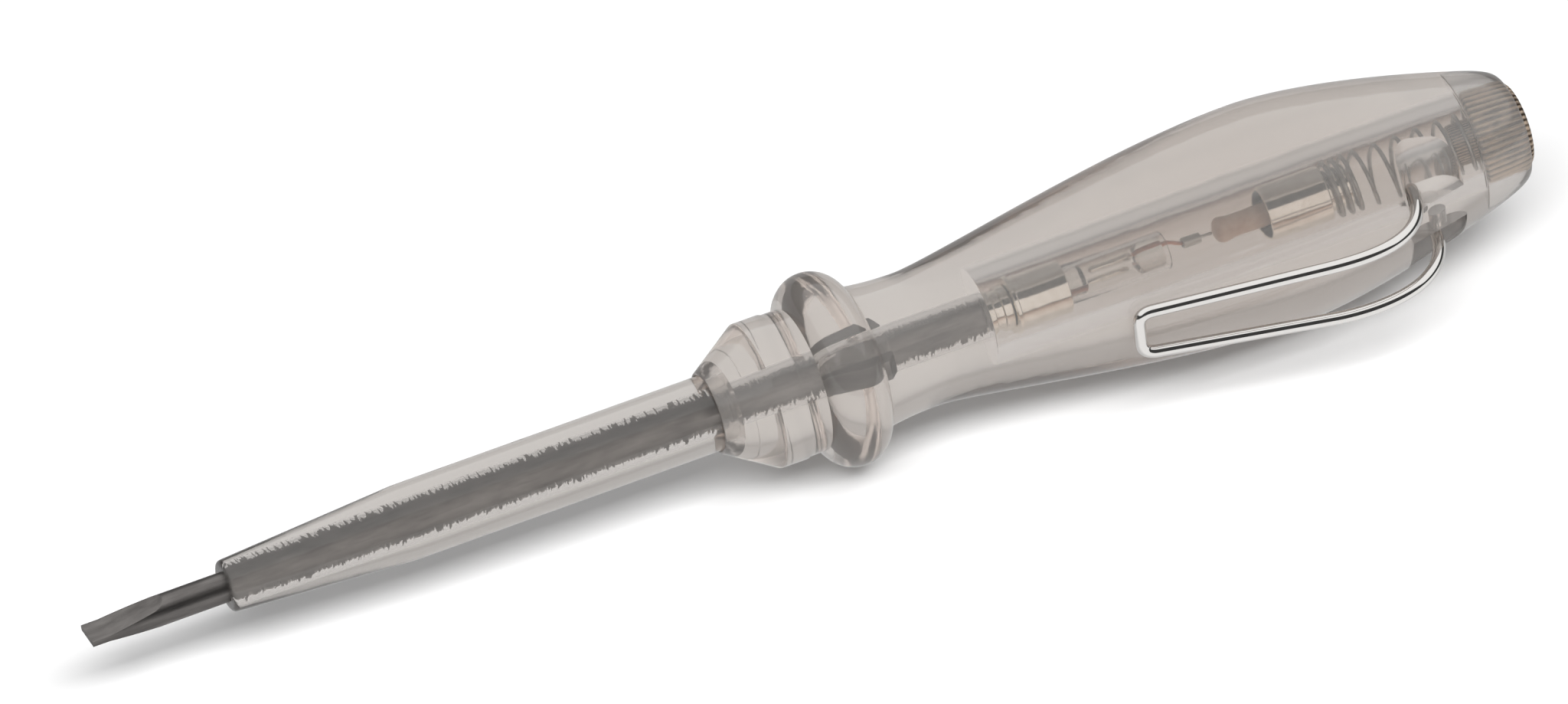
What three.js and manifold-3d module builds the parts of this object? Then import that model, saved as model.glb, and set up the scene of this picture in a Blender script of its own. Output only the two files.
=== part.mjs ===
// Voltage tester screwdriver with a clear handle, a glow lamp in its bore and a wire pocket clip.
// Millimetres. The tool lies along +X with the middle of its blade tip at the origin, +Z is up,
// the flats of the tip face up and down, and the pocket clip is on the -Y side.
import * as THREE from 'three';
import { mergeVertices } from 'three/addons/utils/BufferGeometryUtils.js';
import Module from 'manifold-3d';

const wasm = await Module();
wasm.setup();

// Clearances
const mouldGap = 0.1; // round pieces moulded or pressed into each other
const cutGap = 0.3; // a pocket around the piece that it was cut for
const contactGap = 0.1; // end faces that the spring presses together
const capGap = 0.6; // metal cap and cup in the bore, on the radius
const springGap = 0.45; // spring in the bore, on the radius
const coilGap = 0.5; // between neighbouring turns where the spring is wound close

// Blade
const bladeDiameter = 2.8;
const bladeReach = 60.4; // from the handle to the tip
const bladeHold = 26.5; // inside the handle
const tipThickness = 0.54;
const tipFlatLength = 1.6;
const tipFaceLength = 6; // from the tip to the end of the sloping face
const tipFaceThickness = 1.76; // at the end of the sloping face
const tipGrindLength = 7.35; // from the tip to where the grinding runs out
const earStart = 12.8; // from the handle's front to the pressed ears
const earLength = 4;
const earSpan = 4.2;
const earThickness = 1.5;

// Insulating sleeve
const sleeveDiameter = 7;
const sleeveFrontDiameter = 4.8;
const sleeveStart = 13.3; // bare blade in front of the sleeve
const sleeveTaperLength = 17.4;
const sleeveEdgeRadius = 0.5;
const sleeveHold = 2; // inside the handle

// Handle, its lengths measured from its front
const handleLength = 78.9;
const handleMouthWall = 0.2; // thin edge of the front cone
const coneLength = 4.7;
const collarDiameter = 13.6;
const collarLength = 2.5;
const collarStep = 0.12;
const flangeDiameter = 18.14;
const flangeCrownRadius = 3;
const flangeMiddle = 12.05;
const waistDiameter = 12.5;
const waistMiddle = 20.2;
const waistCurve = 4; // how far the waist runs on before it opens
const bellyDiameter = 20.6;
const bellyMiddle = 54.8;
const bellyCurve = 12.5; // how far before its middle the belly levels out
const tailDiameter = 12.5;
const tailFromEnd = 3;
const tailSlope = 0.3;
const tailCurve = 12;
const bellyTurn = 2.5; // how far behind its middle the belly starts to fall
const endWall = 0.5; // flat rim around the end plug
const boreDiameter = 6.2;

// Contact bush and lamp
const bushLength = 2.5;
const bushDiameter = 4.2;
const bushGroove = 0.25;
const capLength = 5.3;
const sheetWall = 0.35; // drawn sheet metal of the cap and the cup
const capLipLength = 0.4;
const bulbDiameter = 3.7;
const bulbWall = 0.4;
const bulbLength = 10.6;
const bulbInCap = 0.7; // how far the glass tube enters the cap
const beadLength = 2.6;
const beadInset = 0.3;
const electrodeDiameter = 0.55;
const electrodeLength = 4.1;
const electrodeSpacing = 1.3;
const leadDiameter = 0.36;

// Resistor, its leads and the contact cup
const leadBendLength = 1.7; // where the lamp's lead swings onto the axis
const leadOut = 0.6; // straight run of a lead outside a bead, and inside the ferrule
const ferruleLength = 1.7;
const ferruleDiameter = 1;
const resistorLeadLength = 2.1;
const resistorLength = 6.6;
const resistorDiameter = 2.4;
const resistorWaist = 2.1;
const resistorCapLength = 1.4; // swollen end of the resistor
const resistorProud = 4.5; // how far the resistor stands out of the cup
const cupLength = 5.6;

// Spring and end plug
const wireDiameter = 0.4;
const closeTurns = 3;
const openTurns = 5;
const endTurns = 1;
const stepsPerTurn = 8;
const wireSides = 5;
const spigotGap = 0.35;
const spigotLength = 2.2;
const plugDiameter = 8.2;
const plugLength = 5.7;
const plugProud = 0.7;
const plugChamfer = 0.35;
const knurlTeeth = 48;
const knurlDepth = 0.22;

// Pocket clip, a wire whose ends are pins in a web of the handle between two side pockets
const clipWire = 1.2;
const clipPivotPlace = 11.65; // middle between the two pins, forward of the handle's end
const clipPivotDepth = 2.3; // pins below the handle's surface
const clipPivotOffset = 1.7; // the lower pin lies behind the upper one, which winds the wire up
const clipPinLength = 1.1; // each pin inside the web
const clipElbow = 0.8;
const clipLegSpacing = 5.2;
const clipLean = 9; // degrees, legs leaning forward
const clipLegRun = 8.8; // how far a leg heads outward into the bend
const clipBendRun = 4; // how far the line of an arm runs on into the bend
const clipBendLength = 13; // from the pins to the straight arms
const clipLength = 29.3; // from the pins to the front bar
const clipRise = 2.95; // rear end of the straight arms above the handle, to the middle of the wire
const clipRearSpacing = 6.05;
const clipFrontSpacing = 4.5;
const clipCorner = 1.35;
const clipRest = 0.3; // front bar above the handle
const pocketFrontRoom = 1.25; // from the upper pin to the front wall of the pockets
const pocketRearRoom = 3; // from the lower pin to the rear wall
const pocketInnerRoom = 1.25; // from the pins to the inner end
const pocketCorner = 2;
const clipStep = 0.5;

// Roundness of the facets
const roundFacets = 36;
const smallFacets = 18;
const wireFacets = 8;
const leadFacets = 6;

// Places that follow from the sizes above
const bladeRadius = bladeDiameter / 2;
const handleStart = bladeReach;
const handleEnd = handleStart + handleLength;
const bladeEnd = handleStart + bladeHold;
const boreRadius = boreDiameter / 2;
const sleeveRadius = sleeveDiameter / 2;
const sleeveBore = bladeRadius + mouldGap;
const capRadius = boreRadius - capGap;
const capBore = capRadius - sheetWall;
const bushStart = bladeEnd + contactGap;
const capStart = bushStart + bushLength + contactGap;
const capEnd = capStart + capLength;
const bulbStart = capEnd - bulbInCap;
const bulbEnd = bulbStart + bulbLength;
const bulbBore = bulbDiameter / 2 - bulbWall;
const frontBeadEnd = bulbStart + beadInset + beadLength;
const rearBeadStart = bulbEnd - beadInset - beadLength;
const rearBeadEnd = rearBeadStart + beadLength;
const leadBendEnd = rearBeadEnd + leadOut + leadBendLength;
const ferruleMiddle = leadBendEnd + leadOut + contactGap / 2;
const resistorStart = ferruleMiddle + contactGap / 2 + resistorLeadLength;
const resistorEnd = resistorStart + resistorLength;
const cupStart = resistorStart + resistorProud;
const cupEnd = cupStart + cupLength;
const cupFloor = cupEnd - sheetWall;
const plugEnd = handleEnd + plugProud;
const plugStart = plugEnd - plugLength;
const plugRadius = plugDiameter / 2;
const plugSeat = plugRadius + mouldGap;
const wireRadius = wireDiameter / 2;
const springRadius = boreRadius - springGap - wireRadius;
const spigotRadius = springRadius - wireRadius - spigotGap;
const clipPivotX = handleEnd - clipPivotPlace;
const clipBarX = clipPivotX - clipLength;
const webHalf = clipLegSpacing / 2 - clipWire / 2 - cutGap;

const steel = { color: 0x6f6a68, roughness: 0.45, metalness: 1 };
const clearPlastic = { color: 0xc9c2bc, roughness: 0.1, metalness: 0, transparent: true, opacity: 0.4 };
const nickel = { color: 0xd5cfc4, roughness: 0.3, metalness: 1 };
const glass = { color: 0xf2f2f0, roughness: 0.05, metalness: 0, transparent: true, opacity: 0.35 };
const copperClad = { color: 0xb5613d, roughness: 0.4, metalness: 1 };
const tinned = { color: 0xb9b7b2, roughness: 0.35, metalness: 1 };
const lacquer = { color: 0x8a6a4c, roughness: 0.5, metalness: 0 };
const springSteel = { color: 0x9d9a96, roughness: 0.35, metalness: 1 };
const knurledBrass = { color: 0xb19a78, roughness: 0.4, metalness: 1 };
const chrome = { color: 0xd8d9db, roughness: 0.12, metalness: 1 };

// A closed mesh of positions alone, without the flat triangles that a lathe leaves on its axis.
function closed(geometry) {
  geometry.deleteAttribute('normal');
  geometry.deleteAttribute('uv');
  const merged = mergeVertices(geometry, 1e-4);
  const source = merged.getIndex().array;
  const kept = [];
  for (let i = 0; i < source.length; i += 3) {
    const [a, b, c] = [source[i], source[i + 1], source[i + 2]];
    if (a !== b && b !== c && c !== a) {
      kept.push(a, b, c);
    }
  }
  merged.setIndex(kept);
  return merged;
}

function solidOf(geometry) {
  const mesh = closed(geometry);
  const vertProperties = new Float32Array(mesh.getAttribute('position').array);
  const triVerts = new Uint32Array(mesh.getIndex().array);
  return new wasm.Manifold(new wasm.Mesh({ numProp: 3, vertProperties, triVerts }));
}

function geometryOf(solid) {
  const mesh = solid.getMesh();
  const geometry = new THREE.BufferGeometry();
  geometry.setAttribute('position', new THREE.BufferAttribute(new Float32Array(mesh.vertProperties), 3));
  geometry.setIndex(new THREE.BufferAttribute(new Uint32Array(mesh.triVerts), 1));
  return geometry;
}

// Turns an outline of points (place along the tool, radius) about the X axis.
function turned(outline, facets = roundFacets) {
  const profile = outline.map((point) => new THREE.Vector2(point.y, point.x));
  const geometry = new THREE.LatheGeometry(profile, facets);
  geometry.rotateZ(-Math.PI / 2);
  return closed(geometry);
}

// An outline from corners alone, each a pair (place along the tool, radius).
function corners(...pairs) {
  return pairs.map(([place, radius]) => new THREE.Vector2(place, radius));
}

// A bar of the given radius between two places on the axis.
function bar(start, end, radius, facets = smallFacets) {
  return turned(corners([start, 0], [start, radius], [end, radius], [end, 0]), facets);
}

// A tube between two places on the axis.
function sleeve(start, end, outer, inner, facets = smallFacets) {
  return turned(corners([start, inner], [start, outer], [end, outer], [end, inner], [start, inner]), facets);
}

// A plate whose outline lies in X and Y, centred on the given height.
function plate(outline, thickness, height = 0) {
  const geometry = new THREE.ExtrudeGeometry(outline, { depth: thickness, bevelEnabled: false });
  geometry.translate(0, 0, height - thickness / 2);
  return geometry;
}

function roundSection(radius, sides) {
  const section = new THREE.Shape();
  for (let i = 0; i < sides; i += 1) {
    const angle = (2 * Math.PI * i) / sides;
    const point = new THREE.Vector2(radius * Math.cos(angle), radius * Math.sin(angle));
    if (i === 0) {
      section.moveTo(point.x, point.y);
    } else {
      section.lineTo(point.x, point.y);
    }
  }
  section.closePath();
  return section;
}

function wire(path, radius, sides, steps) {
  const options = { steps, extrudePath: path, bevelEnabled: false };
  return closed(new THREE.ExtrudeGeometry(roundSection(radius, sides), options));
}

function vector(x, y, z) {
  return new THREE.Vector3(x, y, z);
}

// Blade

// The space above one face of the tip that the grinding wheel takes away, seen from the side.
function grinding() {
  const slope = (tipFaceThickness - tipThickness) / 2 / (tipFaceLength - tipFlatLength);
  const half = (tipGrindLength - tipFaceLength) / 2;
  const outline = new THREE.Shape();
  outline.moveTo(-bladeRadius, tipThickness / 2);
  outline.lineTo(tipFlatLength, tipThickness / 2);
  outline.lineTo(tipFaceLength, tipFaceThickness / 2);
  const turn = new THREE.Vector2(tipFaceLength + half, tipFaceThickness / 2 + slope * half);
  outline.quadraticCurveTo(turn.x, turn.y, tipGrindLength, bladeRadius);
  outline.lineTo(tipGrindLength, bladeDiameter);
  outline.lineTo(-bladeRadius, bladeDiameter);
  const options = { depth: 2 * bladeDiameter, curveSegments: 6, bevelEnabled: false };
  const geometry = new THREE.ExtrudeGeometry(outline, options);
  geometry.translate(0, 0, -bladeDiameter);
  geometry.rotateX(Math.PI / 2);
  return geometry;
}

// The pressed ears, a plate across the blade; grow widens it on every side.
function ears(grow) {
  const start = handleStart + earStart - grow;
  const end = handleStart + earStart + earLength + grow;
  const half = earSpan / 2 + grow;
  const slope = half - bladeRadius;
  const outline = new THREE.Shape();
  outline.moveTo(start, -bladeRadius);
  outline.lineTo(start + slope, -half);
  outline.lineTo(end - slope, -half);
  outline.lineTo(end, -bladeRadius);
  outline.lineTo(end, bladeRadius);
  outline.lineTo(end - slope, half);
  outline.lineTo(start + slope, half);
  outline.lineTo(start, bladeRadius);
  return plate(outline, earThickness + 2 * grow);
}

// What the press takes off the top of the rod at the ears, seen from the side.
function pressing() {
  const start = handleStart + earStart;
  const depth = bladeRadius - earThickness / 2;
  const outline = new THREE.Shape();
  outline.moveTo(start, bladeRadius);
  outline.lineTo(start + depth, earThickness / 2);
  outline.lineTo(start + earLength - depth, earThickness / 2);
  outline.lineTo(start + earLength, bladeRadius);
  outline.lineTo(start + earLength, bladeDiameter);
  outline.lineTo(start, bladeDiameter);
  const geometry = new THREE.ExtrudeGeometry(outline, { depth: 2 * bladeDiameter, bevelEnabled: false });
  geometry.translate(0, 0, -bladeDiameter);
  geometry.rotateX(Math.PI / 2);
  return geometry;
}

function mirrored(geometry) {
  return geometry.clone().rotateX(Math.PI);
}

function blade() {
  let rod = solidOf(bar(0, bladeEnd, bladeRadius));
  for (const tool of [grinding(), pressing()]) {
    rod = rod.subtract(solidOf(mirrored(tool)));
    rod = rod.subtract(solidOf(tool));
  }
  return geometryOf(rod.add(solidOf(ears(0))));
}

// Sleeve

function bladeSleeve() {
  const front = sleeveStart;
  const outline = new THREE.Path();
  outline.moveTo(front, sleeveBore);
  outline.lineTo(front, sleeveFrontDiameter / 2 - sleeveEdgeRadius);
  outline.quadraticCurveTo(front, sleeveFrontDiameter / 2, front + sleeveEdgeRadius, sleeveFrontDiameter / 2);
  outline.lineTo(front + sleeveTaperLength, sleeveRadius);
  outline.lineTo(handleStart + sleeveHold, sleeveRadius);
  outline.lineTo(handleStart + sleeveHold, sleeveBore);
  outline.lineTo(front, sleeveBore);
  return turned(outline.getPoints(3));
}

// Handle

// The outside of the handle from its mouth to its end rim.
function handleOutline() {
  const x = (place) => handleStart + place;
  const collar = collarDiameter / 2;
  const land = collar - collarStep;
  const crown = flangeDiameter / 2 - flangeCrownRadius;
  const halfFlange = Math.sqrt(flangeCrownRadius ** 2 - (land - crown) ** 2);
  const opening = Math.atan2(land - crown, halfFlange);
  const waist = waistDiameter / 2;
  const belly = bellyDiameter / 2;
  const tail = tailDiameter / 2;
  const tailPlace = handleLength - tailFromEnd;
  const rim = plugSeat + endWall;
  const outline = new THREE.Path();
  outline.moveTo(x(0), sleeveRadius + mouldGap + handleMouthWall);
  outline.lineTo(x(coneLength), collar);
  outline.lineTo(x(coneLength + collarLength), collar);
  outline.lineTo(x(coneLength + collarLength), land);
  outline.lineTo(x(flangeMiddle - halfFlange), land);
  outline.absarc(x(flangeMiddle), crown, flangeCrownRadius, Math.PI - opening, opening, true);
  const waistStart = flangeMiddle + halfFlange;
  outline.quadraticCurveTo(x((waistStart + waistMiddle) / 2), waist, x(waistMiddle), waist);
  outline.bezierCurveTo(
    x(waistMiddle + waistCurve), waist,
    x(bellyMiddle - bellyCurve), belly,
    x(bellyMiddle), belly,
  );
  outline.bezierCurveTo(
    x(bellyMiddle + bellyTurn), belly,
    x(tailPlace - tailCurve), tail + tailSlope * tailCurve,
    x(tailPlace), tail,
  );
  outline.quadraticCurveTo(x(handleLength), tail - tailSlope * tailFromEnd, x(handleLength), rim);
  return outline.getPoints(6);
}

// The handle's radius at a place along the tool.
function handleRadius(place) {
  const points = handleOutline();
  const next = points.findIndex((point) => point.x > place);
  const [a, b] = [points[next - 1], points[next]];
  return a.y + ((b.y - a.y) * (place - a.x)) / (b.x - a.x);
}

// The pin of the clip on one side, on the surface of the handle's web.
function clipPin(side) {
  const depth = handleRadius(clipPivotX) - clipPivotDepth;
  return vector(clipPivotX - (side * clipPivotOffset) / 2, -depth, side * webHalf);
}

// A pocket in one side of the handle that a leg of the clip swings in.
function legPocket(side) {
  const start = clipPin(1).x - pocketFrontRoom;
  const end = clipPin(-1).x + pocketRearRoom;
  const inner = clipPin(side).y + pocketInnerRoom;
  const outline = new THREE.Shape();
  outline.moveTo(start, -bellyDiameter);
  outline.lineTo(end, -bellyDiameter);
  outline.absarc(end - pocketCorner, inner - pocketCorner, pocketCorner, 0, Math.PI / 2, false);
  outline.absarc(start + pocketCorner, inner - pocketCorner, pocketCorner, Math.PI / 2, Math.PI, false);
  return plate(outline, bellyDiameter, side * (webHalf + bellyDiameter / 2));
}

// The hole in the web for the pin on one side, open to its pocket.
function pinHole(side) {
  const pin = clipPin(side);
  const depth = clipPinLength + 2 * cutGap;
  const hole = plate(roundSection(clipWire / 2 + cutGap, smallFacets), depth, side * (cutGap - depth / 2));
  return hole.translate(pin.x, pin.y, pin.z);
}

function handle() {
  const sleeveSeat = sleeveRadius + mouldGap;
  const sleeveStop = handleStart + sleeveHold + contactGap;
  const inside = corners(
    [handleEnd, plugSeat],
    [plugStart - contactGap, plugSeat],
    [plugStart - contactGap, boreRadius],
    [bladeEnd, boreRadius],
    [bladeEnd, bladeRadius + mouldGap],
    [sleeveStop, bladeRadius + mouldGap],
    [sleeveStop, sleeveSeat],
    [handleStart, sleeveSeat],
  );
  const outside = handleOutline();
  let body = solidOf(turned([...outside, ...inside, outside[0].clone()]));
  body = body.subtract(solidOf(ears(cutGap)));
  for (const side of [-1, 1]) {
    body = body.subtract(solidOf(legPocket(side)));
    body = body.subtract(solidOf(pinHole(side)));
  }
  return geometryOf(body);
}

// Contact bush and lamp

function contactBush() {
  const radius = bushDiameter / 2;
  const third = bushLength / 3;
  return turned(corners(
    [bushStart, 0],
    [bushStart, radius],
    [bushStart + third, radius],
    [bushStart + third, radius - bushGroove],
    [bushStart + 2 * third, radius - bushGroove],
    [bushStart + 2 * third, radius],
    [bushStart + bushLength, radius],
    [bushStart + bushLength, 0],
  ), smallFacets);
}

function lampCap() {
  const lip = capRadius + capGap / 3;
  return turned(corners(
    [capStart, 0],
    [capStart, lip],
    [capStart + capLipLength, lip],
    [capStart + capLipLength, capRadius],
    [capEnd, capRadius],
    [capEnd, capBore],
    [capStart + sheetWall, capBore],
    [capStart + sheetWall, 0],
  ));
}

// A glass bead with a hole for its lead, beside the axis by the given height.
function bead(start, end, height) {
  const radius = bulbBore - mouldGap;
  const hole = bar(start - beadLength, end + beadLength, leadDiameter / 2 + mouldGap, leadFacets);
  hole.translate(0, 0, height);
  return geometryOf(solidOf(bar(start, end, radius)).subtract(solidOf(hole)));
}

function electrode(start, height) {
  const rod = bar(start, start + electrodeLength, electrodeDiameter / 2, wireFacets);
  return rod.translate(0, 0, height);
}

function frontLead() {
  const start = capStart + sheetWall + contactGap;
  const end = frontBeadEnd + contactGap;
  return bar(start, end, leadDiameter / 2, leadFacets).translate(0, 0, -electrodeSpacing / 2);
}

// The lamp's rear lead leaves its bead beside the axis and swings onto it.
function rearLead() {
  const height = electrodeSpacing / 2;
  const bendStart = rearBeadEnd + leadOut;
  const third = leadBendLength / 3;
  const path = new THREE.CurvePath();
  path.add(new THREE.LineCurve3(vector(rearBeadStart - contactGap, 0, height), vector(bendStart, 0, height)));
  path.add(new THREE.CubicBezierCurve3(
    vector(bendStart, 0, height),
    vector(bendStart + third, 0, height),
    vector(leadBendEnd - third, 0, 0),
    vector(leadBendEnd, 0, 0),
  ));
  path.add(new THREE.LineCurve3(vector(leadBendEnd, 0, 0), vector(leadBendEnd + leadOut, 0, 0)));
  const steps = Math.ceil(path.getLength() / leadDiameter);
  return wire(path, leadDiameter / 2, leadFacets, steps);
}

// Resistor and contact cup

function leadJoint() {
  const half = ferruleLength / 2;
  const inner = leadDiameter / 2 + mouldGap;
  return sleeve(ferruleMiddle - half, ferruleMiddle + half, ferruleDiameter / 2, inner);
}

function resistorBody() {
  const end = resistorDiameter / 2;
  const middle = resistorWaist / 2;
  const swell = resistorCapLength;
  const outline = new THREE.Path();
  outline.moveTo(resistorStart, 0);
  outline.quadraticCurveTo(resistorStart, end, resistorStart + swell / 2, end);
  outline.quadraticCurveTo(resistorStart + swell, end, resistorStart + swell, middle);
  outline.lineTo(resistorEnd - swell, middle);
  outline.quadraticCurveTo(resistorEnd - swell, end, resistorEnd - swell / 2, end);
  outline.quadraticCurveTo(resistorEnd, end, resistorEnd, 0);
  return turned(outline.getPoints(4), smallFacets);
}

function resistorFrontLead() {
  return bar(ferruleMiddle + contactGap / 2, resistorStart - contactGap, leadDiameter / 2, leadFacets);
}

function resistorRearLead() {
  return bar(resistorEnd + contactGap, cupFloor - contactGap, leadDiameter / 2, leadFacets);
}

function contactCup() {
  return turned(corners(
    [cupStart, capBore],
    [cupStart, capRadius],
    [cupEnd, capRadius],
    [cupEnd, spigotRadius],
    [cupEnd + spigotLength, spigotRadius],
    [cupEnd + spigotLength, 0],
    [cupFloor, 0],
    [cupFloor, capBore],
    [cupStart, capBore],
  ));
}

// Spring

const springStart = cupEnd + contactGap + wireRadius;
const springEnd = plugStart - contactGap - wireRadius;
const closePitch = wireDiameter + coilGap;
const openLength = springEnd - springStart - (closeTurns + endTurns) * closePitch;
const springTurns = closeTurns + openTurns + endTurns;

// Wound close over the cup's spigot, open in the middle and close again at the plug.
class SpringCurve extends THREE.Curve {
  getPoint(t, target = new THREE.Vector3()) {
    const turn = t * springTurns;
    const close = Math.min(turn, closeTurns) + Math.max(turn - closeTurns - openTurns, 0);
    const open = THREE.MathUtils.clamp(turn - closeTurns, 0, openTurns);
    const place = springStart + close * closePitch + (open * openLength) / openTurns;
    const angle = 2 * Math.PI * turn;
    return target.set(place, springRadius * Math.cos(angle), springRadius * Math.sin(angle));
  }
}

// The least gap between neighbouring turns, measured on points of the wire's middle line.
function leastCoilGap(points) {
  let least = Infinity;
  for (let i = 0; i < points.length; i += 1) {
    for (let j = i + Math.ceil(stepsPerTurn / 2); j < points.length; j += 1) {
      least = Math.min(least, points[i].distanceTo(points[j]));
    }
  }
  return least - wireDiameter;
}

function contactSpring() {
  const path = new SpringCurve();
  const steps = springTurns * stepsPerTurn;
  const gap = leastCoilGap(path.getSpacedPoints(steps));
  console.log(`contact_spring: least gap to itself ${gap.toFixed(2)} mm`);
  return wire(path, wireRadius, wireSides, steps);
}

// End plug

function knurledOutline() {
  const outline = new THREE.Shape();
  for (let i = 0; i < 2 * knurlTeeth; i += 1) {
    const angle = (Math.PI * i) / knurlTeeth;
    const radius = i % 2 === 0 ? plugRadius : plugRadius - knurlDepth;
    const point = new THREE.Vector2(radius * Math.cos(angle), radius * Math.sin(angle));
    if (i === 0) {
      outline.moveTo(point.x, point.y);
    } else {
      outline.lineTo(point.x, point.y);
    }
  }
  outline.closePath();
  return outline;
}

function endPlug() {
  const knurl = new THREE.ExtrudeGeometry(knurledOutline(), { depth: plugLength, bevelEnabled: false });
  knurl.rotateY(Math.PI / 2);
  knurl.translate(plugStart, 0, 0);
  const outer = plugRadius + mouldGap;
  const edge = plugRadius - plugChamfer;
  const chamfers = turned(corners(
    [plugStart, 0],
    [plugStart, edge],
    [plugStart + plugChamfer, outer],
    [plugEnd - plugChamfer, outer],
    [plugEnd, edge],
    [plugEnd, 0],
  ));
  const spigot = bar(plugStart - spigotLength, plugStart + plugLength / 2, spigotRadius);
  return geometryOf(solidOf(knurl).intersect(solidOf(chamfers)).add(solidOf(spigot)));
}

// Pocket clip

// One side of the clip from the inner end of its pin to its front corner.
function clipSide(side) {
  const pin = clipPin(side);
  const leg = (side * clipLegSpacing) / 2;
  const lean = THREE.MathUtils.degToRad(clipLean);
  const outward = vector(-Math.sin(lean), -Math.cos(lean), 0);
  const foot = vector(pin.x, pin.y, leg);
  const pinEnd = vector(pin.x, pin.y, pin.z - side * clipPinLength);
  const elbow = vector(pin.x, pin.y, leg - side * clipElbow);
  const legStart = foot.clone().addScaledVector(outward, clipElbow);
  const armX = clipPivotX - clipBendLength;
  const armY = -handleRadius(armX) - clipRise;
  const arm = vector(pin.x - clipBendLength, armY, (side * clipRearSpacing) / 2);
  const front = (side * clipFrontSpacing) / 2;
  const barY = -handleRadius(clipBarX) - clipRest - clipWire / 2;
  const corner = vector(clipBarX, barY, front);
  const along = arm.clone().sub(corner).normalize();
  const cornerStart = corner.clone().addScaledVector(along, clipCorner);
  return [
    new THREE.LineCurve3(pinEnd, elbow),
    new THREE.QuadraticBezierCurve3(elbow, foot, legStart),
    new THREE.CubicBezierCurve3(
      legStart,
      foot.clone().addScaledVector(outward, clipLegRun),
      arm.clone().addScaledVector(along, clipBendRun),
      arm,
    ),
    new THREE.LineCurve3(arm, cornerStart),
    new THREE.QuadraticBezierCurve3(cornerStart, corner, vector(clipBarX, barY, front - side * clipCorner)),
  ];
}

function backwards(curve) {
  if (curve instanceof THREE.LineCurve3) {
    return new THREE.LineCurve3(curve.v2, curve.v1);
  }
  if (curve instanceof THREE.CubicBezierCurve3) {
    return new THREE.CubicBezierCurve3(curve.v3, curve.v2, curve.v1, curve.v0);
  }
  return new THREE.QuadraticBezierCurve3(curve.v2, curve.v1, curve.v0);
}

function pocketClip() {
  const there = clipSide(1);
  const back = clipSide(-1).map(backwards).reverse();
  const path = new THREE.CurvePath();
  there.forEach((curve) => path.add(curve));
  path.add(new THREE.LineCurve3(there.at(-1).v2, back[0].v0));
  back.forEach((curve) => path.add(curve));
  const steps = Math.ceil(path.getLength() / clipStep);
  return wire(path, clipWire / 2, wireFacets, steps);
}

const lowElectrode = -electrodeSpacing / 2;
const highElectrode = electrodeSpacing / 2;

const tool = new THREE.Group();

function add(name, geometry, finish) {
  const mesh = new THREE.Mesh(geometry, new THREE.MeshStandardMaterial(finish));
  mesh.name = name;
  tool.add(mesh);
}

add('blade', blade(), steel);
add('blade_sleeve', bladeSleeve(), clearPlastic);
add('handle', handle(), clearPlastic);
add('contact_bush', contactBush(), nickel);
add('lamp_cap', lampCap(), nickel);
add('lamp_bulb', sleeve(bulbStart, bulbEnd, bulbDiameter / 2, bulbBore), glass);
add('lamp_front_bead', bead(bulbStart + beadInset, frontBeadEnd, lowElectrode), glass);
add('lamp_rear_bead', bead(rearBeadStart, rearBeadEnd, highElectrode), glass);
add('front_electrode', electrode(frontBeadEnd + 2 * contactGap, lowElectrode), nickel);
add('rear_electrode', electrode(rearBeadStart - 2 * contactGap - electrodeLength, highElectrode), nickel);
add('front_lead', frontLead(), copperClad);
add('rear_lead', rearLead(), copperClad);
add('lead_joint', leadJoint(), tinned);
add('resistor_front_lead', resistorFrontLead(), tinned);
add('resistor_body', resistorBody(), lacquer);
add('resistor_rear_lead', resistorRearLead(), tinned);
add('contact_cup', contactCup(), nickel);
add('contact_spring', contactSpring(), springSteel);
add('end_plug', endPlug(), knurledBrass);
add('pocket_clip', pocketClip(), chrome);

export default tool;
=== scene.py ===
"""Voltage tester screwdriver: a clear handle with a glow lamp in its bore, on a white studio floor.

The frame holds the tool along +X with its tip at the origin, +Z up and the pocket clip on the -Y side.
Sizes here are in millimetres and become metres as each mesh is made.
"""

import math

import bmesh
import bpy
from mathutils import Matrix, Vector, noise


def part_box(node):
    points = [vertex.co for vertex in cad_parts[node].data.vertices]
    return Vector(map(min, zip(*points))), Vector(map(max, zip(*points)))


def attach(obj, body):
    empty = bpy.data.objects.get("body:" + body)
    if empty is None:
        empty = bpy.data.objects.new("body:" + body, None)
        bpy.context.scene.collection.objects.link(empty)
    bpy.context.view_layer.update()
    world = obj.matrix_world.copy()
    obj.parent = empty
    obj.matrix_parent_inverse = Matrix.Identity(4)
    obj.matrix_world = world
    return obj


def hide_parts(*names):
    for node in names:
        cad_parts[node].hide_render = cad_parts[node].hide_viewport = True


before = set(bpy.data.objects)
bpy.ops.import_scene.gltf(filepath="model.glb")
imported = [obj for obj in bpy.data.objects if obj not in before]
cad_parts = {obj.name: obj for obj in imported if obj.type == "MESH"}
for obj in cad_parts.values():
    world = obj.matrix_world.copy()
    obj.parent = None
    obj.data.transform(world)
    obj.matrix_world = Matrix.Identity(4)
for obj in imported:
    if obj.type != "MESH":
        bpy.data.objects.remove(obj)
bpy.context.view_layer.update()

MM = 0.001
TURN = 2 * math.pi


def span(node):
    """The lowest and highest corner of a node, in millimetres."""
    low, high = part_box(node)
    return low / MM, high / MM


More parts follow.
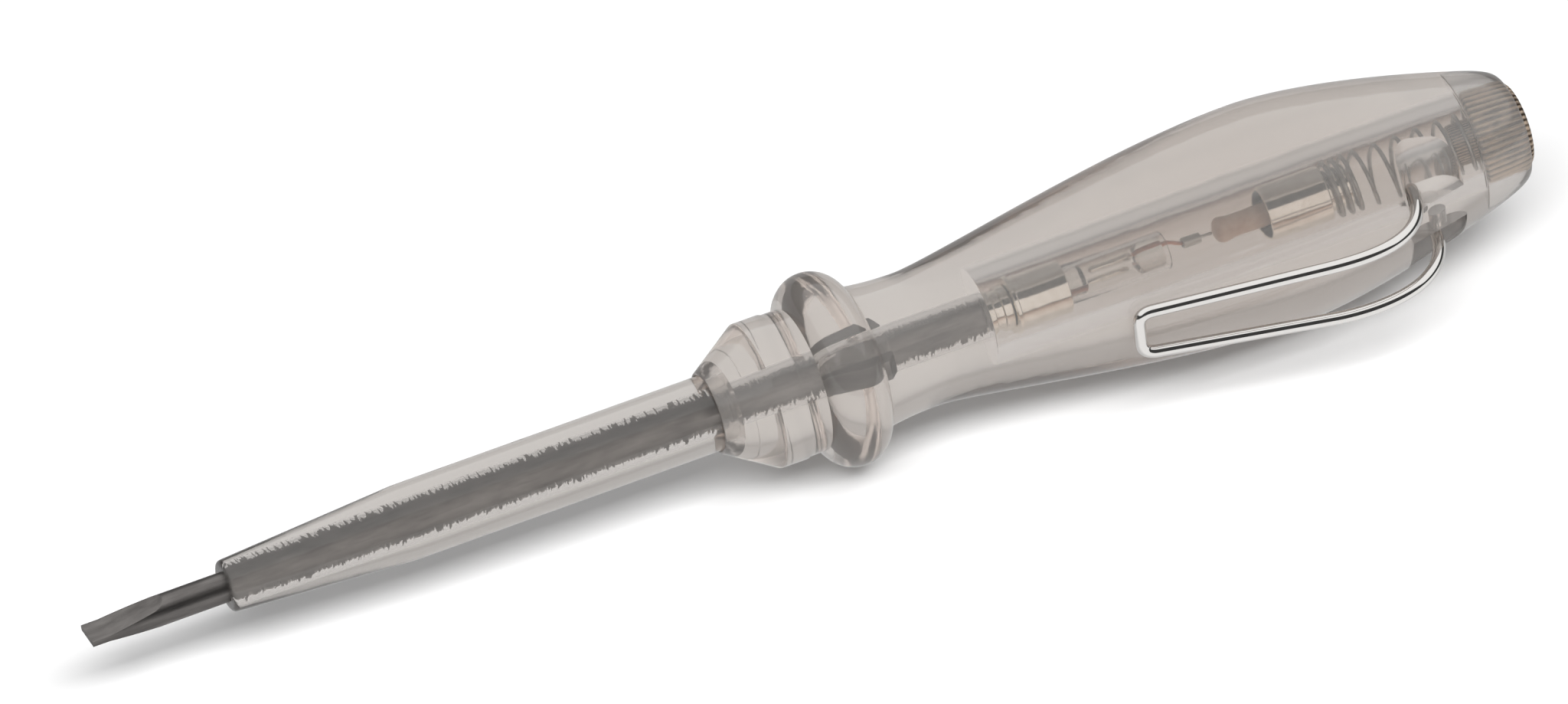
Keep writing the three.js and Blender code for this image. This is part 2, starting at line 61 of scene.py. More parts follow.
# Blade and ears
BLADE_HIGH = span("blade")[1]
BLADE_END = BLADE_HIGH.x
BLADE_RADIUS = BLADE_HIGH.z
EAR_HALF_SPAN = BLADE_HIGH.y
TIP_HALF_THICKNESS = 0.27
TIP_FLAT_LENGTH = 1.6
TIP_FACE_LENGTH = 6.0
TIP_FACE_HALF_THICKNESS = 0.88
TIP_GRIND_LENGTH = 7.35
EAR_START = 73.2
EAR_END = 77.2
EAR_HALF_THICKNESS = 0.75
EAR_CLEARANCE = 0.02
BLADE_EDGE_BEVEL = 0.035

# Sleeve
SLEEVE_LOW, SLEEVE_HIGH = span("blade_sleeve")
SLEEVE_START, SLEEVE_END = SLEEVE_LOW.x, SLEEVE_HIGH.x
SLEEVE_RADIUS = SLEEVE_HIGH.z
SLEEVE_FRONT_RADIUS = 2.4
SLEEVE_TAPER_LENGTH = 17.4
SLEEVE_EDGE_RADIUS = 0.45
SLEEVE_STOP_GAP = 0.1

# Handle
HANDLE_LOW, HANDLE_HIGH = span("handle")
HANDLE_START, HANDLE_END = HANDLE_LOW.x, HANDLE_HIGH.x
BELLY_RADIUS = HANDLE_HIGH.z
MOUTH_RADIUS = 3.8
SLEEVE_SEAT_RADIUS = 3.6
CONE_END = 65.1
COLLAR_END = 67.6
COLLAR_RADIUS = 6.8
COLLAR_STEP = 0.12
FLANGE_MIDDLE = 72.45
FLANGE_RADIUS = 9.07
FLANGE_CROWN = 3.0
WAIST_MIDDLE = 80.6
WAIST_RADIUS = 6.25
WAIST_CURVE = 4.0
BELLY_MIDDLE = 115.2
BELLY_CURVE = 12.5
BELLY_TURN = 2.5
TAIL_PLACE = 136.3
TAIL_RADIUS = 6.25
TAIL_SLOPE = 0.3
TAIL_CURVE = 12.0
RIM_RADIUS = 4.7
BORE_RADIUS = 3.1
EDGE_ROUND = 0.12

# End plug
PLUG_LOW, PLUG_HIGH = span("end_plug")
PLUG_END = PLUG_HIGH.x
PLUG_RADIUS = PLUG_HIGH.y
PLUG_LENGTH = 5.7
PLUG_START = PLUG_END - PLUG_LENGTH
PLUG_SEAT_RADIUS = PLUG_RADIUS + 0.1
PLUG_SEAT_START = PLUG_START - 0.1
PLUG_CHAMFER = 0.35
KNURL_TEETH = 48
KNURL_DEPTH = 0.22
SPIGOT_RADIUS = 1.9

# Metal caps in the bore
SHEET_WALL = 0.35
CAP_LIP = 0.4
CAP_LOW, CAP_HIGH = span("lamp_cap")
CUP_LOW, CUP_HIGH = span("contact_cup")
CUP_RADIUS = CUP_HIGH.z
CUP_LENGTH = 5.6
CUP_EDGE_ROUND = 0.15
BUSH_GROOVE = 0.25

# Lamp, ferrule and resistor
GLASS_WALL = 0.4
GLASS_EDGE_ROUND = 0.15
BEAD_ROUND = 0.6
LEAD_BEND_START = 105.1
LEAD_BEND_END = 106.8
FERRULE_WALL = 0.22
FERRULE_EDGE_ROUND = 0.1
RESISTOR_SWELL = 1.4
RESISTOR_DIP = 0.15

# Spring
SPRING_WIRE = 0.2
SPRING_RADIUS = 2.45
CLOSE_TURNS = 3
OPEN_TURNS = 5
END_TURNS = 1
CLOSE_PITCH = 0.9

# Pocket clip, whose two pins sit in a web between side pockets of the handle
CLIP_WIRE = 0.6
CLIP_WIRE_SHARE = 0.985
CLIP_PIVOT_X = 127.65
CLIP_PIVOT_Y = -6.24
CLIP_PIVOT_OFFSET = 1.7
CLIP_PIN_LENGTH = 1.1
CLIP_ELBOW = 0.8
CLIP_LEG_Z = 2.6
CLIP_REAR_Z = 3.025
CLIP_FRONT_Z = 2.25
CLIP_LEAN = math.radians(9)
CLIP_LEG_RUN = 8.8
CLIP_BEND_RUN = 4.0
CLIP_BEND_LENGTH = 13.0
CLIP_LENGTH = 29.3
CLIP_RISE = 2.92
CLIP_CORNER = 1.35
CLIP_REST = 0.3
WEB_HALF = 1.7
PIN_HOLE_RADIUS = 0.9
PIN_HOLE_DEPTH = 1.4
POCKET_START = 125.55
POCKET_END = 131.5
POCKET_INNER = -4.99
POCKET_CORNER = 2.0

# Facets of the fine meshes
ROUND = 160
SMALL_ROUND = 64
WIRE_ROUND = 20


# Outlines

def line(start, end, steps=1):
    """Points from start to end, without the first."""
    return [
        (start[0] + (end[0] - start[0]) * i / steps, start[1] + (end[1] - start[1]) * i / steps)
        for i in range(1, steps + 1)
    ]


def bezier(points, steps):
    """Points on the Bezier curve with the given control points, without the first."""
    made = []
    for i in range(1, steps + 1):
        level = [Vector(point) for point in points]
        while len(level) > 1:
            level = [a.lerp(b, i / steps) for a, b in zip(level, level[1:])]
        made.append(tuple(level[0]))
    return made


def arc(centre, radius, start, end, steps):
    """Points on an arc between two angles, without the first."""
    made = []
    for i in range(1, steps + 1):
        angle = start + (end - start) * i / steps
        made.append((centre[0] + radius * math.cos(angle), centre[1] + radius * math.sin(angle)))
    return made


def rounded(corners, radius, steps=4):
    """An open outline through corners, with every inner corner rounded by the given radius."""
    made = [corners[0]]
    for before, corner, after in zip(corners, corners[1:], corners[2:]):
        here = Vector(corner)
        back = Vector(before) - here
        on = Vector(after) - here
        reach = min(radius, 0.45 * back.length, 0.45 * on.length)
        start = here + back.normalized() * reach
        end = here + on.normalized() * reach
        made.append(tuple(start))
        made += bezier([start, here, end], steps)
    made.append(corners[-1])
    return made


# Meshes

def finish_mesh(name, mesh_data, material, crease=35):
    """Turns a bmesh in millimetres into a smooth object in metres."""
    bmesh.ops.scale(mesh_data, vec=(MM, MM, MM), verts=mesh_data.verts)
    bmesh.ops.recalc_face_normals(mesh_data, faces=mesh_data.faces)
    mesh = bpy.data.meshes.new(name)
    mesh_data.to_mesh(mesh)
    mesh_data.free()
    mesh.shade_smooth()
    mesh.set_sharp_from_angle(angle=math.radians(crease))
    piece = bpy.data.objects.new(name, mesh)
    bpy.context.scene.collection.objects.link(piece)
    mesh.materials.append(material)
    return piece


def rings_to_faces(mesh_data, rings, closed=False):
    """Joins neighbouring rings of vertices, a ring of one vertex being a point on the axis."""
    pairs = list(zip(rings, rings[1:]))
    if closed:
        pairs.append((rings[-1], rings[0]))
    for a, b in pairs:
        count = max(len(a), len(b))
        for i in range(count):
            j = (i + 1) % count
            corners = [a[i % len(a)], a[j % len(a)], b[j % len(b)], b[i % len(b)]]
            kept = [c for n, c in enumerate(corners) if c not in corners[:n]]
            if len(kept) > 2:
                mesh_data.faces.new(kept)


def turned(outline, facets=ROUND, closed=False, shape=None):
    """A bmesh of the outline (place, radius) turned about the X axis; shape may change a point's radius."""
    mesh_data = bmesh.new()
    rings = []
    for place, radius in outline:
        if radius < 1e-6:
            rings.append([mesh_data.verts.new((place, 0, 0))])
            continue
        ring = []
        for i in range(facets):
            angle = TURN * i / facets
            r = shape(place, radius, angle) if shape else radius
            ring.append(mesh_data.verts.new((place, r * math.cos(angle), r * math.sin(angle))))
        rings.append(ring)
    rings_to_faces(mesh_data, rings, closed)
    return mesh_data


def swept(path, radius, sides=WIRE_ROUND, dome=0.0):
    """A bmesh of a round wire along a path of points, its ends flat or domed by a share of the radius."""
    points = [Vector(p) for p in path]
    mesh_data = bmesh.new()
    rings = []
    normal = None
    for i, point in enumerate(points):
        along = (points[min(i + 1, len(points) - 1)] - points[max(i - 1, 0)]).normalized()
        if normal is None:
            normal = along.orthogonal().normalized()
        normal = (normal - along * normal.dot(along)).normalized()
        side = along.cross(normal)
        rings.append([
            mesh_data.verts.new(
                point + radius * (math.cos(TURN * k / sides) * normal + math.sin(TURN * k / sides) * side)
            )
            for k in range(sides)
        ])
    first = (points[0] - points[1]).normalized() * radius * dome
    last = (points[-1] - points[-2]).normalized() * radius * dome
    rings.insert(0, [mesh_data.verts.new(points[0] + first)])
    rings.append([mesh_data.verts.new(points[-1] + last)])
    rings_to_faces(mesh_data, rings)
    return mesh_data


def prism(outline, low, high):
    """A bmesh of an outline in X and Y, from one height to another."""
    mesh_data = bmesh.new()
    bottom = [mesh_data.verts.new((x, y, low)) for x, y in outline]
    top = [mesh_data.verts.new((x, y, high)) for x, y in outline]
    count = len(outline)
    for i in range(count):
        j = (i + 1) % count
        mesh_data.faces.new((bottom[i], bottom[j], top[j], top[i]))
    mesh_data.faces.new(bottom[::-1])
    mesh_data.faces.new(top)
    return mesh_data


def combine(piece, other, operation):
    """Joins or cuts the piece by another object, which is then removed."""
    modifier = piece.modifiers.new("combine", "BOOLEAN")
    modifier.operation = operation
    modifier.object = other
    modifier.solver = "MANIFOLD"
    bake(piece)
    bpy.data.objects.remove(other)


def bevel(piece, width, segments=2, angle=30):
    """Rounds the sharp edges of a piece by a width in millimetres."""
    modifier = piece.modifiers.new("bevel", "BEVEL")
    modifier.width = width * MM
    modifier.segments = segments
    modifier.limit_method = "ANGLE"
    modifier.angle_limit = math.radians(angle)
    bake(piece)


def bake(piece):
    """Replaces a piece's mesh by what its modifiers make of it."""
    depsgraph = bpy.context.evaluated_depsgraph_get()
    mesh = bpy.data.meshes.new_from_object(piece.evaluated_get(depsgraph))
    piece.modifiers.clear()
    piece.data = mesh
    mesh.shade_smooth()
    mesh.set_sharp_from_angle(angle=math.radians(35))


def place(piece, body, slot, *nodes):
    """Says which body a piece rides on and hides the nodes it stands for; the finish it is given is not
    used.
    """
    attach(piece, body)
    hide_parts(*nodes)
    return piece


# Materials

class Finish:
    """A material with one shader, and short names for the nodes that vary it."""

    def __init__(self, name, colour, roughness, metallic=0.0):
        self.material = bpy.data.materials.new(name)
        self.material.use_nodes = True
        self.tree = self.material.node_tree
        self.shader = self.tree.nodes["Principled BSDF"]
        self.set("Base Color", (*colour, 1))
        self.set("Roughness", roughness)
        self.set("Metallic", metallic)
        coordinates = self.tree.nodes.new("ShaderNodeTexCoord")
        self.place = coordinates.outputs["Object"]

    def set(self, name, value):
        self.shader.inputs[name].default_value = value

    def link(self, source, target):
        self.tree.links.new(source, target)

    def stretched(self, along, across):
        """The place on the object, scaled along the tool and across it, in turns per millimetre."""
        mapping = self.tree.nodes.new("ShaderNodeMapping")
        mapping.inputs["Scale"].default_value = (along / MM, across / MM, across / MM)
        self.link(self.place, mapping.inputs["Vector"])
        return mapping.outputs["Vector"]

    def noise(self, vector, detail=3.0, roughness=0.55):
        node = self.tree.nodes.new("ShaderNodeTexNoise")
        node.inputs["Scale"].default_value = 1.0
        node.inputs["Detail"].default_value = detail
        node.inputs["Roughness"].default_value = roughness
        self.link(vector, node.inputs["Vector"])
        return node.outputs["Fac"]

    def range(self, value, low, high, start=0.3, end=0.7):
        """Maps a noise value onto a range."""
        node = self.tree.nodes.new("ShaderNodeMapRange")
        node.inputs["From Min"].default_value = start
        node.inputs["From Max"].default_value = end
        node.inputs["To Min"].default_value = low
        node.inputs["To Max"].default_value = high
        self.link(value, node.inputs["Value"])
        return node.outputs["Result"]

    def ramp(self, value, *stops):
        """A colour ramp through (place, colour) stops."""
        node = self.tree.nodes.new("ShaderNodeValToRGB")
        elements = node.color_ramp.elements
        while len(elements) < len(stops):
            elements.new(0.5)
        for element, (position, colour) in zip(elements, stops):
            element.position = position
            element.color = (*colour, 1)
        self.link(value, node.inputs["Fac"])
        return node.outputs["Color"]

    def math(self, operation, first, second):
        """Works on a value with a number or another value."""
        node = self.tree.nodes.new("ShaderNodeMath")
        node.operation = operation
        self.link(first, node.inputs[0])
        if isinstance(second, (int, float)):
            node.inputs[1].default_value = second
        else:
            self.link(second, node.inputs[1])
        return node.outputs["Value"]

    def teeth(self, count):
        """A wave round the axis of the tool, one on a tooth's tip and minus one in its groove."""
        parts = self.tree.nodes.new("ShaderNodeSeparateXYZ")
        self.link(self.place, parts.inputs["Vector"])
        angle = self.math("ARCTAN2", parts.outputs["Z"], parts.outputs["Y"])
        return self.math("COSINE", self.math("MULTIPLY", angle, count), 0)

    def rough(self, value):
        self.link(value, self.shader.inputs["Roughness"])

    def colour(self, value):
        self.link(value, self.shader.inputs["Base Color"])

    def bump(self, value, distance, strength=1.0):
        """Raises the surface by a height in millimetres."""
        node = self.tree.nodes.new("ShaderNodeBump")
        node.inputs["Distance"].default_value = distance * MM
        node.inputs["Strength"].default_value = strength
        self.link(value, node.inputs["Height"])
        self.link(node.outputs["Normal"], self.shader.inputs["Normal"])


PLASTIC_COLOUR = (0.93, 0.90, 0.87)
PLASTIC_INDEX = 1.48
PLASTIC_CLARITY = 0.89
SLEEVE_CLARITY = 0.95
BORE_CLARITY = 1.0
POCKET_CLARITY = 0.76
HANDLE_DULLNESS = 0.07
SLEEVE_DULLNESS = 0.08
PLASTIC_TINT = (0.72, 0.62, 0.55)
PLASTIC_TINT_DENSITY = 40.0


def see_through(finish, clarity):
    """Makes a finish hazy clear plastic that darkens and warms with depth."""
    finish.set("Transmission Weight", clarity)
    finish.set("IOR", PLASTIC_INDEX)
    depth = finish.tree.nodes.new("ShaderNodeVolumeAbsorption")
    depth.inputs["Color"].default_value = (*PLASTIC_TINT, 1)
    depth.inputs["Density"].default_value = PLASTIC_TINT_DENSITY
    output = finish.tree.nodes["Material Output"]
    finish.link(depth.outputs["Volume"], output.inputs["Volume"])


def clear_plastic(name, clarity, dullness):
    """Outside of the clear mouldings, with faint flow marks and handling scuffs."""
    finish = Finish(name, PLASTIC_COLOUR, dullness)
    see_through(finish, clarity)
    scuffs = finish.noise(finish.stretched(0.35, 1.4), detail=5.0)
    finish.rough(finish.range(scuffs, 0.7 * dullness, 1.3 * dullness))
    waves = finish.noise(finish.stretched(0.2, 0.45), detail=2.0)
    finish.bump(waves, 0.03)
    return finish.material


def bore_plastic():
    """Drilled walls inside the clear handle, frosted by the tool that cut them."""
    finish = Finish("bore_plastic", (1.0, 1.0, 1.0), 0.16)
    see_through(finish, BORE_CLARITY)
    grain = finish.noise(finish.stretched(3.0, 6.0), detail=4.0)
    finish.rough(finish.range(grain, 0.04, 0.12))
    finish.bump(grain, 0.006)
    return finish.material


def pocket_plastic():
    """Walls of the clip's pockets, matt from the mould's slides."""
    finish = Finish("pocket_plastic", PLASTIC_COLOUR, 0.2)
    see_through(finish, POCKET_CLARITY)
    grain = finish.noise(finish.stretched(0.4, 0.4))
    finish.rough(finish.range(grain, 0.14, 0.24))
    return finish.material


def blade_steel():
    """Blackened rod with drawing lines along it."""
    finish = Finish("blade_steel", (0.15, 0.14, 0.135), 0.42, 1.0)
    lines = finish.noise(finish.stretched(0.3, 12.0), detail=4.0)
    finish.rough(finish.range(lines, 0.34, 0.52))
    tone = finish.noise(finish.stretched(0.25, 1.2), detail=4.0)
    finish.colour(finish.ramp(tone, (0.3, (0.15, 0.141, 0.135)), (0.7, (0.25, 0.236, 0.226))))
    finish.bump(lines, 0.004)
    return finish.material


def nickel_plate():
    """Bright plate with a warm cast and turning lines round it."""
    finish = Finish("nickel_plate", (0.80, 0.76, 0.69), 0.28, 1.0)
    lines = finish.noise(finish.stretched(14.0, 0.6), detail=3.0)
    finish.rough(finish.range(lines, 0.1, 0.17))
    finish.bump(lines, 0.001)
    tone = finish.noise(finish.stretched(0.8, 0.9), detail=3.0)
    finish.colour(finish.ramp(tone, (0.3, (0.84, 0.80, 0.73)), (0.7, (0.94, 0.91, 0.85))))
    return finish.material


def cup_inside_painted_shade():
    """Inside of the cup, dull, painted dark as the shade in its hollow."""
    finish = Finish("cup_inside_painted_shade", (0.2, 0.18, 0.17), 0.55, 1.0)
    tone = finish.noise(finish.stretched(3.0, 3.0), detail=3.0)
    finish.colour(finish.ramp(tone, (0.3, (0.08, 0.07, 0.068)), (0.7, (0.15, 0.135, 0.13))))
    return finish.material


def lamp_glass():
    """Drawn glass tube with faint lines along it."""
    finish = Finish("lamp_glass", (0.97, 0.97, 0.96), 0.02)
    finish.set("Transmission Weight", 1.0)
    finish.set("IOR", 1.5)
    lines = finish.noise(finish.stretched(0.2, 2.0), detail=2.0)
    finish.bump(lines, 0.01)
    return finish.material


def copper_clad_wire():
    finish = Finish("copper_clad_wire", (0.62, 0.25, 0.13), 0.38, 1.0)
    tone = finish.noise(finish.stretched(1.2, 2.5), detail=3.0)
    finish.colour(finish.ramp(tone, (0.3, (0.50, 0.17, 0.09)), (0.7, (0.72, 0.33, 0.19))))
    finish.rough(finish.range(tone, 0.3, 0.5))
    return finish.material


def tinned_wire():
    finish = Finish("tinned_wire", (0.58, 0.57, 0.54), 0.36, 1.0)
    tone = finish.noise(finish.stretched(1.5, 3.0), detail=3.0)
    finish.rough(finish.range(tone, 0.28, 0.5))
    finish.bump(tone, 0.01)
    return finish.material


def brown_lacquer():
    """Dipped lacquer of the resistor, thicker in places."""
    finish = Finish("brown_lacquer", (0.70, 0.50, 0.40), 0.4)
    tone = finish.noise(finish.stretched(0.9, 1.1), detail=3.0)
    finish.colour(finish.ramp(tone, (0.3, (0.80, 0.53, 0.38)), (0.7, (0.94, 0.70, 0.54))))
    finish.rough(finish.range(tone, 0.3, 0.5))
    finish.bump(tone, 0.03)
    return finish.material


def spring_steel():
    finish = Finish("spring_steel", (0.42, 0.41, 0.40), 0.34, 1.0)
    tone = finish.noise(finish.stretched(2.0, 2.0), detail=3.0)
    finish.rough(finish.range(tone, 0.26, 0.45))
    finish.colour(finish.ramp(tone, (0.3, (0.33, 0.32, 0.31)), (0.7, (0.50, 0.49, 0.47))))
    return finish.material


def knurled_brass():
    """Dull plate over brass, darker at random, with painted shade in the grooves between the teeth."""
    finish = Finish("knurled_brass", (0.45, 0.36, 0.25), 0.4, 1.0)
    tone = finish.noise(finish.stretched(0.5, 1.6), detail=4.0)
    # Painted shade: the tooth wave darkens the colour in the grooves.
    height = finish.math("ADD", tone, finish.math("MULTIPLY", finish.teeth(KNURL_TEETH), 0.25))
    finish.colour(finish.ramp(height, (0.25, (0.09, 0.067, 0.05)), (0.75, (0.76, 0.62, 0.49))))
    finish.rough(finish.range(tone, 0.45, 0.65))
    finish.bump(finish.noise(finish.stretched(2.0, 8.0)), 0.006)
    return finish.material


def clip_chrome():
    """Bright chrome with faint draw marks along the wire."""
    finish = Finish("clip_chrome", (0.80, 0.78, 0.76), 0.06, 1.0)
    marks = finish.noise(finish.stretched(0.5, 9.0), detail=3.0)
    finish.rough(finish.range(marks, 0.03, 0.09))
    return finish.material


# Blade

def ground_half_height(place):
    """Half the blade's thickness at a place, where the wheel has ground its two faces."""
    slope = (TIP_FACE_HALF_THICKNESS - TIP_HALF_THICKNESS) / (TIP_FACE_LENGTH - TIP_FLAT_LENGTH)
    if place <= TIP_FACE_LENGTH:
        return TIP_HALF_THICKNESS + slope * max(0.0, place - TIP_FLAT_LENGTH)
    run = TIP_GRIND_LENGTH - TIP_FACE_LENGTH
    share = min((place - TIP_FACE_LENGTH) / run, 1.0)
    turn = TIP_FACE_HALF_THICKNESS + slope * run / 2
    return (
        (1 - share) ** 2 * TIP_FACE_HALF_THICKNESS
        + 2 * (1 - share) * share * turn
        + share ** 2 * BLADE_RADIUS
    )


def pressed_half_height(place):
    """Half the rod's thickness where the ears are pressed out of it."""
    inside = min(place - EAR_START, EAR_END - place)
    return BLADE_RADIUS - max(0.0, min(inside, BLADE_RADIUS - EAR_HALF_THICKNESS))


def blade_section(half_height):
    """A circle cut flat above and below, as points (y, z) with a fixed count on each stretch."""
    height = min(half_height, BLADE_RADIUS * 0.9998)
    edge = math.asin(height / BLADE_RADIUS)
    half_width = BLADE_RADIUS * math.cos(edge)
    flat_steps = 12
    side_steps = 20
    section = []
    for start, sign in ((-edge, 1), (math.pi - edge, -1)):
        section += arc((0, 0), BLADE_RADIUS, start, start + 2 * edge, side_steps)
        section += line((sign * half_width, sign * height), (-sign * half_width, sign * height), flat_steps)
    return section


def make_blade(material):
    steps = [TIP_FLAT_LENGTH * i / 4 for i in range(5)]
    face = TIP_FACE_LENGTH - TIP_FLAT_LENGTH
    steps += [TIP_FLAT_LENGTH + face * i / 20 for i in range(1, 21)]
    run = TIP_GRIND_LENGTH - TIP_FACE_LENGTH
    steps += [TIP_FACE_LENGTH + run * i / 20 for i in range(1, 21)]
    depth = BLADE_RADIUS - EAR_HALF_THICKNESS
    steps += [EAR_START, EAR_START + depth, EAR_END - depth, EAR_END, BLADE_END - 0.2, BLADE_END]
    mesh_data = bmesh.new()
    rings = [[mesh_data.verts.new((0, 0, 0))]]
    for place_x in steps:
        height = min(ground_half_height(place_x), pressed_half_height(place_x))
        shrink = 0.9 if place_x == BLADE_END else 1.0
        rings.append([
            mesh_data.verts.new((place_x, shrink * y, shrink * z)) for y, z in blade_section(height)
        ])
    rings.append([mesh_data.verts.new((BLADE_END, 0, 0))])
    rings_to_faces(mesh_data, rings)
    piece = finish_mesh("steel_blade", mesh_data, material, crease=20)
    combine(piece, finish_mesh("ear_plate", ear_plate(0.0), material), "UNION")
    bevel(piece, BLADE_EDGE_BEVEL, angle=25)
    return piece


def ear_plate(shrink):
    """The plate of both ears across the rod, drawn in on every side by a distance."""
    start, end = EAR_START + shrink, EAR_END - shrink
    half = EAR_HALF_SPAN - shrink
    slope = EAR_HALF_SPAN - BLADE_RADIUS
    neck = half - slope
    outline = [
        (start, -neck), (start + slope, -half), (end - slope, -half), (end, -neck),
        (end, neck), (end - slope, half), (start + slope, half), (start, neck),
    ]
    height = EAR_HALF_THICKNESS - shrink
    return prism(outline, -height, height)


# Clear mouldings

CONTACT_GRIP = 0.012
CONTACT_RADIUS = BLADE_RADIUS - CONTACT_GRIP
LOOSE_DEPTH = 0.05
LOOSE_SIDE = math.radians(229.5)
LOOSE_EDGE = 0.78
FAR_EDGE_IN_SLEEVE = 0.9
FAR_EDGE_IN_HANDLE = 0.6
EDGE_SOFTNESS = 0.12
STREAKS_PER_MM = 5.0
STREAK_TURN = 1.2
STREAK_RAGGEDNESS = 0.3
STREAK_DEPTH = 0.015


def moulded_hole(place_x, radius, angle):
    """The hole that the blade is moulded in clings to the steel, and has shrunk off it with ragged edges."""
    if radius > BLADE_RADIUS:
        return radius
    streak = noise.noise((
        place_x * STREAKS_PER_MM,
        STREAK_TURN * math.cos(angle),
        STREAK_TURN * math.sin(angle),
    ))
    side = math.cos(angle - LOOSE_SIDE)
    far_edge = FAR_EDGE_IN_SLEEVE if place_x < HANDLE_START else FAR_EDGE_IN_HANDLE
    away = max(side - LOOSE_EDGE, -side - far_edge) + STREAK_RAGGEDNESS * streak
    share = min(max(away / EDGE_SOFTNESS, 0.0), 1.0)
    return radius + (LOOSE_DEPTH + STREAK_DEPTH * streak) * share


def make_sleeve(material):
    front = SLEEVE_START
    outline = rounded([
        (front, CONTACT_RADIUS),
        (front, SLEEVE_FRONT_RADIUS),
        (front + SLEEVE_TAPER_LENGTH, SLEEVE_RADIUS),
        (SLEEVE_END, SLEEVE_RADIUS),
        (SLEEVE_END, CONTACT_RADIUS),
    ], SLEEVE_EDGE_RADIUS)
    hole = line((SLEEVE_END, CONTACT_RADIUS), (front, CONTACT_RADIUS), 480)
    mesh_data = turned(outline + hole[:-1], facets=ROUND, closed=True, shape=moulded_hole)
    return finish_mesh("clear_sleeve", mesh_data, material)


def handle_outline():
    """The outside of the handle from its mouth to its end rim."""
    land = COLLAR_RADIUS - COLLAR_STEP
    crown = FLANGE_RADIUS - FLANGE_CROWN
    half_flange = math.sqrt(FLANGE_CROWN ** 2 - (land - crown) ** 2)
    opening = math.atan2(land - crown, half_flange)
    flange_start = FLANGE_MIDDLE - half_flange
    flange_end = FLANGE_MIDDLE + half_flange
    waist = (WAIST_MIDDLE, WAIST_RADIUS)
    belly = (BELLY_MIDDLE, BELLY_RADIUS)
    tail = (TAIL_PLACE, TAIL_RADIUS)
    outline = rounded([
        (HANDLE_START, SLEEVE_SEAT_RADIUS),
        (HANDLE_START, MOUTH_RADIUS),
        (CONE_END, COLLAR_RADIUS),
        (COLLAR_END, COLLAR_RADIUS),
        (COLLAR_END, land),
        (flange_start, land),
    ], EDGE_ROUND)
    outline += arc((FLANGE_MIDDLE, crown), FLANGE_CROWN, math.pi - opening, opening, 28)
    outline += bezier([(flange_end, land), ((flange_end + WAIST_MIDDLE) / 2, WAIST_RADIUS), waist], 14)
    outline += bezier([
        waist,
        (WAIST_MIDDLE + WAIST_CURVE, WAIST_RADIUS),
        (BELLY_MIDDLE - BELLY_CURVE, BELLY_RADIUS),
        belly,
    ], 40)
    outline += bezier([
        belly,
        (BELLY_MIDDLE + BELLY_TURN, BELLY_RADIUS),
        (TAIL_PLACE - TAIL_CURVE, TAIL_RADIUS + TAIL_SLOPE * TAIL_CURVE),
        tail,
    ], 40)
    outline += bezier([
        tail,
        (HANDLE_END, TAIL_RADIUS - TAIL_SLOPE * (HANDLE_END - TAIL_PLACE)),
        (HANDLE_END, RIM_RADIUS),
    ], 14)
    return outline


def handle_radius(place_x):
    """The handle's outer radius at a place along the tool."""
    outline = handle_outline()
    for (x0, r0), (x1, r1) in zip(outline, outline[1:]):
        if x0 <= place_x < x1:
            return r0 + (r1 - r0) * (place_x - x0) / (x1 - x0)
    return RIM_RADIUS


def leg_pocket(side):
    """The pocket in one side of the handle that a leg of the clip swings in."""
    reach = 2 * BELLY_RADIUS
    inner = POCKET_INNER - POCKET_CORNER
    outline = [(POCKET_START, -reach), (POCKET_END, -reach), (POCKET_END, inner)]
    outline += arc((POCKET_END - POCKET_CORNER, inner), POCKET_CORNER, 0, math.pi / 2, 20)
    outline.append((POCKET_START + POCKET_CORNER, POCKET_INNER))
    outline += arc((POCKET_START + POCKET_CORNER, inner), POCKET_CORNER, math.pi / 2, math.pi, 20)
    low, high = sorted((side * WEB_HALF, side * reach))
    return prism(outline, low, high)


def pin_hole(side):
    """The hole in the web for the pin on one side, open to its pocket."""
    centre = (CLIP_PIVOT_X - side * CLIP_PIVOT_OFFSET / 2, CLIP_PIVOT_Y)
    outline = arc(centre, PIN_HOLE_RADIUS, 0, TURN, 32)
    low, high = sorted((side * (WEB_HALF - PIN_HOLE_DEPTH), side * (WEB_HALF + CLIP_WIRE)))
    return prism(outline, low, high)


def make_handle(polished, frosted, matt):
    sleeve_stop = SLEEVE_END + SLEEVE_STOP_GAP
    outside = handle_outline()
    seat = rounded([
        (HANDLE_END, RIM_RADIUS),
        (HANDLE_END, PLUG_SEAT_RADIUS),
        (PLUG_SEAT_START, PLUG_SEAT_RADIUS),
        (PLUG_SEAT_START, BORE_RADIUS),
        (BLADE_END, BORE_RADIUS),
        (BLADE_END, CONTACT_RADIUS),
    ], EDGE_ROUND)
    hole = line((BLADE_END, CONTACT_RADIUS), (sleeve_stop, CONTACT_RADIUS), 240)
    mouth = [(sleeve_stop, SLEEVE_SEAT_RADIUS)]
    mesh_data = turned(outside + seat[1:] + hole + mouth, closed=True, shape=moulded_hole)
    piece = finish_mesh("clear_handle", mesh_data, polished)
    combine(piece, finish_mesh("ear_room", ear_plate(EAR_CLEARANCE), polished), "DIFFERENCE")
    for side in (-1, 1):
        combine(piece, finish_mesh("leg_room", leg_pocket(side), polished), "DIFFERENCE")
        combine(piece, finish_mesh("pin_room", pin_hole(side), polished), "DIFFERENCE")
    piece.data.materials.append(frosted)
    piece.data.materials.append(matt)
    for face in piece.data.polygons:
        centre = face.center / MM
        away = math.hypot(centre.y, centre.z)
        if BLADE_END <= centre.x < PLUG_SEAT_START and away < BORE_RADIUS + 0.05:
            face.material_index = 1
        elif POCKET_START - 0.1 < centre.x < POCKET_END + 0.1 and away < handle_radius(centre.x) - 0.1:
            face.material_index = 2
    return piece


# Lamp and contacts in the bore

